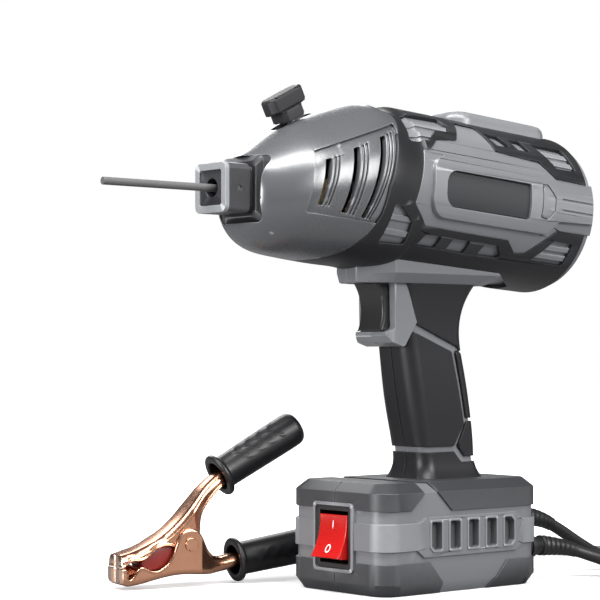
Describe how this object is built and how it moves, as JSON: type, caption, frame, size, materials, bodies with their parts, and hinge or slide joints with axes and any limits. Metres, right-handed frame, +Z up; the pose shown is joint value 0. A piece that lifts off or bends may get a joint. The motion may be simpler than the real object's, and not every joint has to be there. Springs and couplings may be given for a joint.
{
  "type": "handheld stick welder",
  "caption": "Hand-held pistol-shaped stick welding gun on a flat base, with a rod in its nose, a sprung ground clamp, a ground cable and a mains cord.",
  "frame": {"origin": "middle of the base's underside", "axes": "+Z up, -X towards the nose and the rod, -Y the side with the mains gland"},
  "size_m": [0.4675, 0.29, 0.3066],
  "materials": {
    "grey_shell": "satin moulded grey plastic",
    "bezel_grey": "light grey moulded plastic",
    "dark_armour": "dark textured overmould",
    "grip_rubber": "soft black grip rubber",
    "nose_black": "heat resistant black plastic",
    "black_plastic": "black moulded plastic",
    "name_plate": "brushed dark plate, blank",
    "rocker_red": null,
    "display": "dark read-out window",
    "copper": "copper plated steel",
    "brass_metal": "machined brass",
    "steel": "zinc plated steel",
    "rod_flux": "grey mineral flux coating on a steel core",
    "board_green": "green circuit board",
    "aluminium": "extruded aluminium",
    "can_blue": "sleeved capacitor cans",
    "cable_rubber": "black rubber jacket",
    "sleeve_vinyl": "black dipped vinyl"
  },
  "bodies": {
    "gun": {"left_shell": "grey_shell", "right_shell": "grey_shell", "front_housing": "grey_shell", "side_panel_left": "grey_shell", "side_panel_right": "grey_shell", "control_cover": "grey_shell", "nose_bezel": "bezel_grey", "armour_left": "dark_armour", "armour_right": "dark_armour", "upper_bumper_front": "dark_armour", "upper_bumper_rear": "dark_armour", "lower_bumper_front": "dark_armour", "lower_bumper_rear": "dark_armour", "palm_grip": "grip_rubber", "main_grip_left": "grip_rubber", "main_grip_right": "grip_rubber", "rear_grip": "grip_rubber", "foot_grip": "grip_rubber", "nose_block": "nose_black", "switch_frame": "black_plastic", "switch_body": "black_plastic", "rear_grille": "black_plastic", "fan_frame": "black_plastic", "trigger_switch": "black_plastic", "vent_liner_left": "black_plastic", "vent_liner_right": "black_plastic", "name_plate_left": "name_plate", "name_plate_right": "name_plate", "display_window": "display", "clamp_lower_lever": "copper", "clamp_pivot": "copper", "rod_holder": "brass_metal", "shell_screws": "steel", "nose_screws": "steel", "trigger_spring": "steel", "clamp_spring": "steel", "transformer": "steel", "circuit_board": "board_green", "heat_sink": "aluminium", "capacitors": "can_blue", "ground_cable": "cable_rubber", "ground_coil": "cable_rubber", "clamp_cable": "cable_rubber", "mains_cord": "cable_rubber", "mains_coil": "cable_rubber", "mains_plug": "cable_rubber", "mains_gland": "cable_rubber", "ground_gland": "cable_rubber", "clamp_sleeve_lower": "sleeve_vinyl"},
    "trigger": {"trigger": "black_plastic"},
    "rocker": {"rocker": "rocker_red"},
    "knob": {"clamp_knob": "black_plastic", "clamp_screw": "steel"},
    "plunger": {"clamp_plunger": "steel"},
    "rod": {"welding_rod": "rod_flux"},
    "fan": {"fan_rotor": "black_plastic"},
    "minus_key": {"button_minus": "black_plastic"},
    "plus_key": {"button_plus": "black_plastic"},
    "clamp_lever": {"clamp_upper_lever": "copper", "clamp_sleeve_upper": "sleeve_vinyl"}
  },
  "joints": [
    {"name": "trigger_pull", "type": "slide", "parent": "gun", "child": "trigger", "axis": [1, 0, 0], "range_m": [0, 0.005], "stiffness_N_per_m": 500, "springref_m": -0.003, "deforming": ["trigger_spring"]},
    {"name": "rocker_tilt", "type": "hinge", "parent": "gun", "child": "rocker", "pos_m": [-0.065, 0, 0.034], "axis": [0, 1, 0], "range_deg": [-24, 0]},
    {"name": "knob_turn", "type": "hinge", "parent": "gun", "child": "knob", "pos_m": [-0.08, 0, 0.241], "axis": [-0.454, 0, 0.891], "range_deg": [0, 720]},
    {"name": "plunger_lift", "type": "slide", "parent": "gun", "child": "plunger", "axis": [-0.454, 0, 0.891], "range_m": [0, 0.002]},
    {"name": "rod_draw", "type": "slide", "parent": "gun", "child": "rod", "axis": [-1, 0, 0], "range_m": [0, 0.09]},
    {"name": "fan_spin", "type": "hinge", "parent": "gun", "child": "fan", "pos_m": [-0.035, 0, 0.247], "axis": [0.9974, 0, -0.0715], "continuous": true},
    {"name": "minus_press", "type": "slide", "parent": "gun", "child": "minus_key", "axis": [-0.0715, 0, -0.9974], "range_m": [0, 0.0006], "stiffness_N_per_m": 800, "springref_m": -0.0005},
    {"name": "plus_press", "type": "slide", "parent": "gun", "child": "plus_key", "axis": [-0.0715, 0, -0.9974], "range_m": [0, 0.0006], "stiffness_N_per_m": 800, "springref_m": -0.0005},
    {"name": "clamp_open", "type": "hinge", "parent": "gun", "child": "clamp_lever", "pos_m": [-0.11464, 0.0906, 0.0266], "axis": [0.1994, 0.9799, 0], "range_deg": [0, 24], "stiffness_Nm_per_rad": 1.2, "springref_deg": -20.05}
  ],
  "couplings": [
    {"joint": "knob_turn", "follows": "plunger_lift", "rad_per_m": 6283.2}
  ]
}
